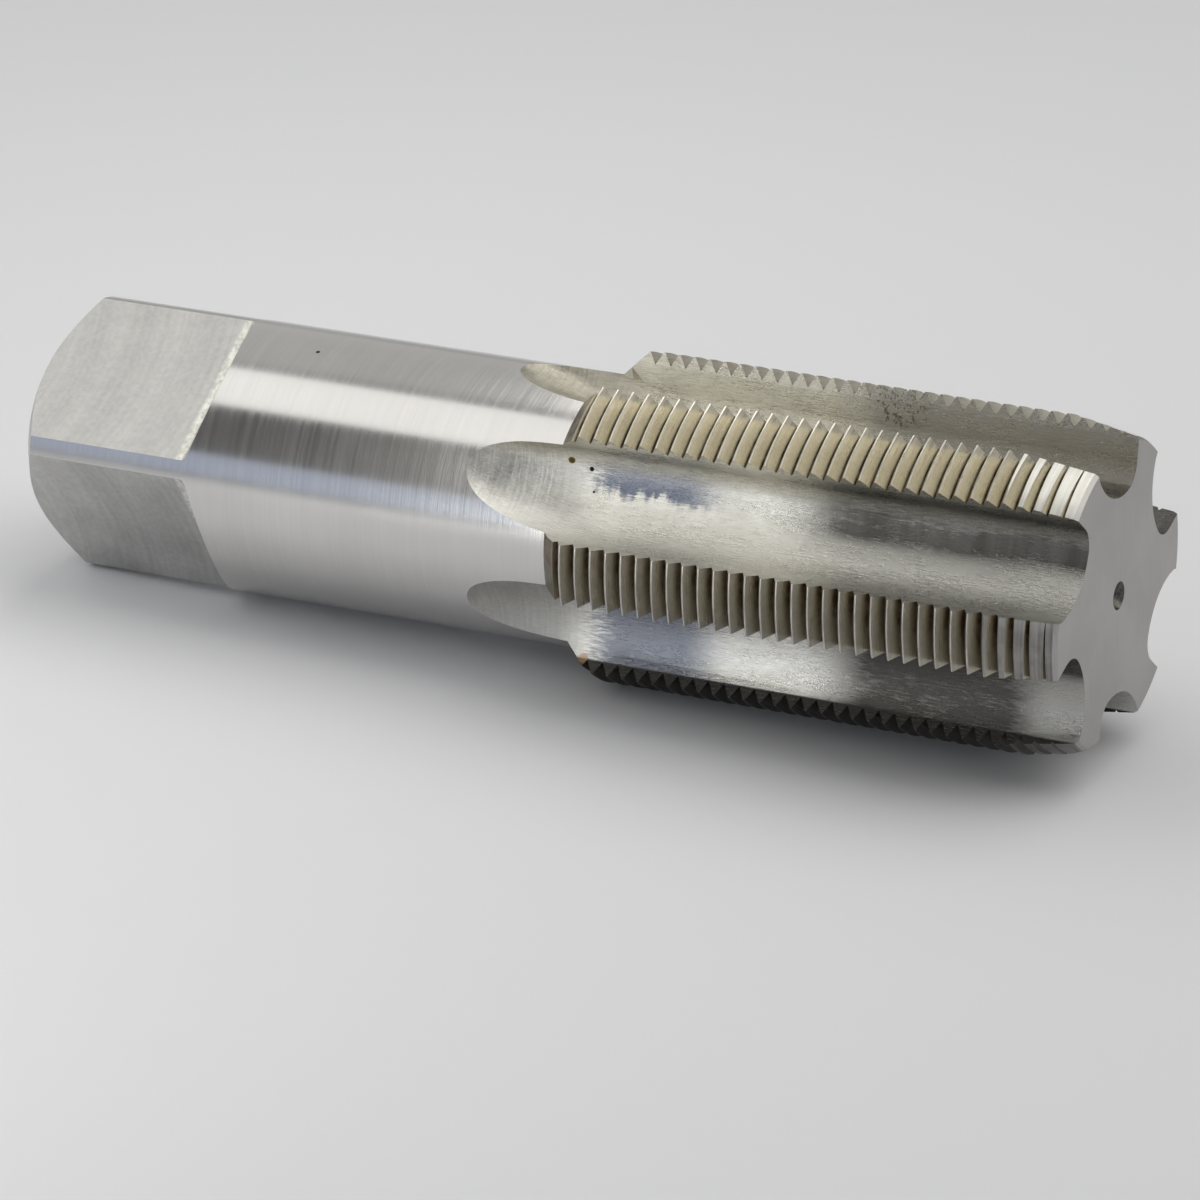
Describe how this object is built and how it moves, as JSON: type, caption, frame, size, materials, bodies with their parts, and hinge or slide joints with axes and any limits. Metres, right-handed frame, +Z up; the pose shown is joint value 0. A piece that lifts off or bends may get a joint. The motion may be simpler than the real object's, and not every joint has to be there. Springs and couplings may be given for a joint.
{
  "type": "thread tap",
  "caption": "Hand tap for cutting a coarse right-hand thread: tapered cutting lead, straight flutes, plain ground shank and a driving square.",
  "frame": {"origin": "middle of the bounding box's underside, on the surface that the tap lies on", "axes": "+X along the tap's axis towards the cutting tip, +Z up from the surface it lies on, -Y towards the camera of the picture"},
  "size_m": [0.2222, 0.0634, 0.0601],
  "materials": {
    "tool_steel": "ground shank, milled square, brushed flutes"
  },
  "bodies": {
    "root": {"thread_tap": "tool_steel"}
  },
  "joints": []
}
